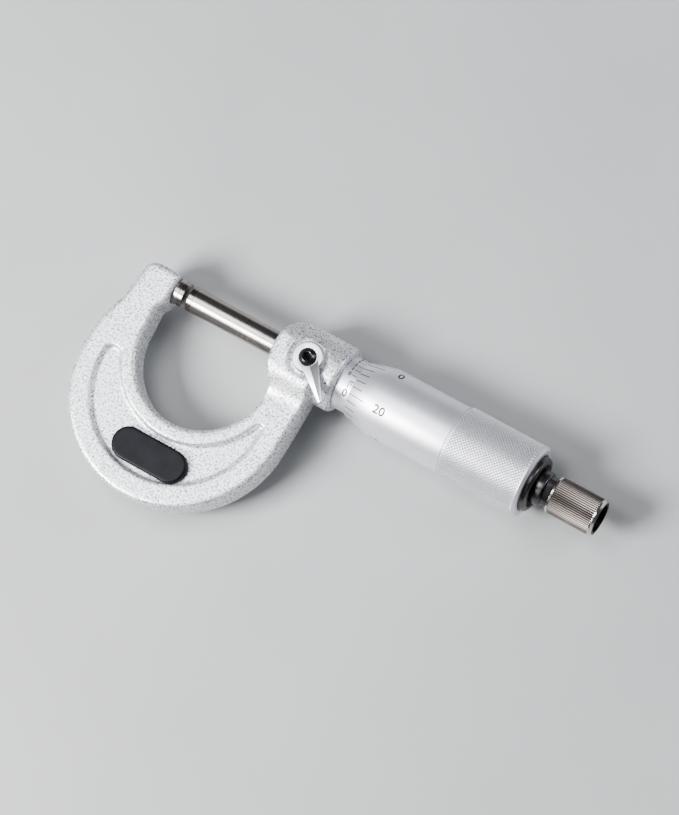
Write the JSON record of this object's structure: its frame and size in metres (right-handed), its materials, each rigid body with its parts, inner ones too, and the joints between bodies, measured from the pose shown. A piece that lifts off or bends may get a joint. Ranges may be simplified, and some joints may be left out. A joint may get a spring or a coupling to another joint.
{
  "type": "outside micrometer",
  "caption": "Outside micrometer with a cast bow frame, carbide-tipped anvil and spindle, graduated thimble, ratchet knob and spindle lock lever.",
  "frame": {"origin": "centre of the anvil's measuring face", "axes": "+X along the spindle from the anvil towards the ratchet; +Y in the plane of the frame, away from the bow; +Z out of the side with the lock lever"},
  "size_m": [0.1329, 0.0597, 0.0194],
  "materials": {
    "frame_paint": "stippled silver-grey hammer paint",
    "ground_steel": "ground and polished steel",
    "satin_chrome": "satin chrome plate",
    "bright_steel": "satin bright steel",
    "dark_steel": "plain turned steel, a little brown",
    "black_steel": "black oxide",
    "carbide": "lapped tungsten carbide",
    "brass": "turned brass",
    "black_plastic": "moulded black plastic"
  },
  "bodies": {
    "frame": {"frame": "frame_paint", "anvil": "ground_steel", "anvil_carbide_tip": "carbide", "front_insulating_plate": "black_plastic", "back_insulating_plate": "black_plastic", "inner_sleeve": "ground_steel", "adjusting_nut": "ground_steel", "lock_plug": "brass"},
    "scale_sleeve": {"scale_sleeve": "satin_chrome"},
    "spindle": {"spindle": "ground_steel", "spindle_carbide_tip": "carbide"},
    "thimble": {"thimble": "satin_chrome", "thimble_cap": "dark_steel", "ratchet_stem": "dark_steel", "ratchet_spring": "ground_steel", "ratchet_end_screw": "black_steel"},
    "ratchet_plunger": {"ratchet_plunger": "ground_steel"},
    "ratchet_knob": {"ratchet_knob": "dark_steel"},
    "lock_lever": {"lock_lever": "bright_steel", "lock_stem": "ground_steel", "lock_lever_screw": "black_steel"}
  },
  "joints": [
    {"name": "spindle_feed", "type": "slide", "parent": "frame", "child": "spindle", "axis": [1, 0, 0], "range_m": [-0.00118, 0.02422]},
    {"name": "thimble_turn", "type": "hinge", "parent": "spindle", "child": "thimble", "pos_m": [0.07, 0, 0], "axis": [1, 0, 0], "range_deg": [-670, 13731]},
    {"name": "ratchet_turn", "type": "hinge", "parent": "thimble", "child": "ratchet_knob", "pos_m": [0.11, 0, 0], "axis": [1, 0, 0], "continuous": true},
    {"name": "ratchet_click", "type": "slide", "parent": "thimble", "child": "ratchet_plunger", "axis": [1, 0, 0], "range_m": [-0.0004, 0], "stiffness_N_per_m": 800, "springref_m": 0.0004},
    {"name": "lock_turn", "type": "hinge", "parent": "frame", "child": "lock_lever", "pos_m": [0.037, 0, 0.008], "axis": [0, 0, 1], "range_deg": [-60, 0]},
    {"name": "zero_set", "type": "hinge", "parent": "frame", "child": "scale_sleeve", "pos_m": [0.06, 0, 0], "axis": [1, 0, 0], "range_deg": [-15, 15]}
  ],
  "couplings": [
    {"joint": "thimble_turn", "follows": "spindle_feed", "rad_per_m": 9894.8}
  ]
}
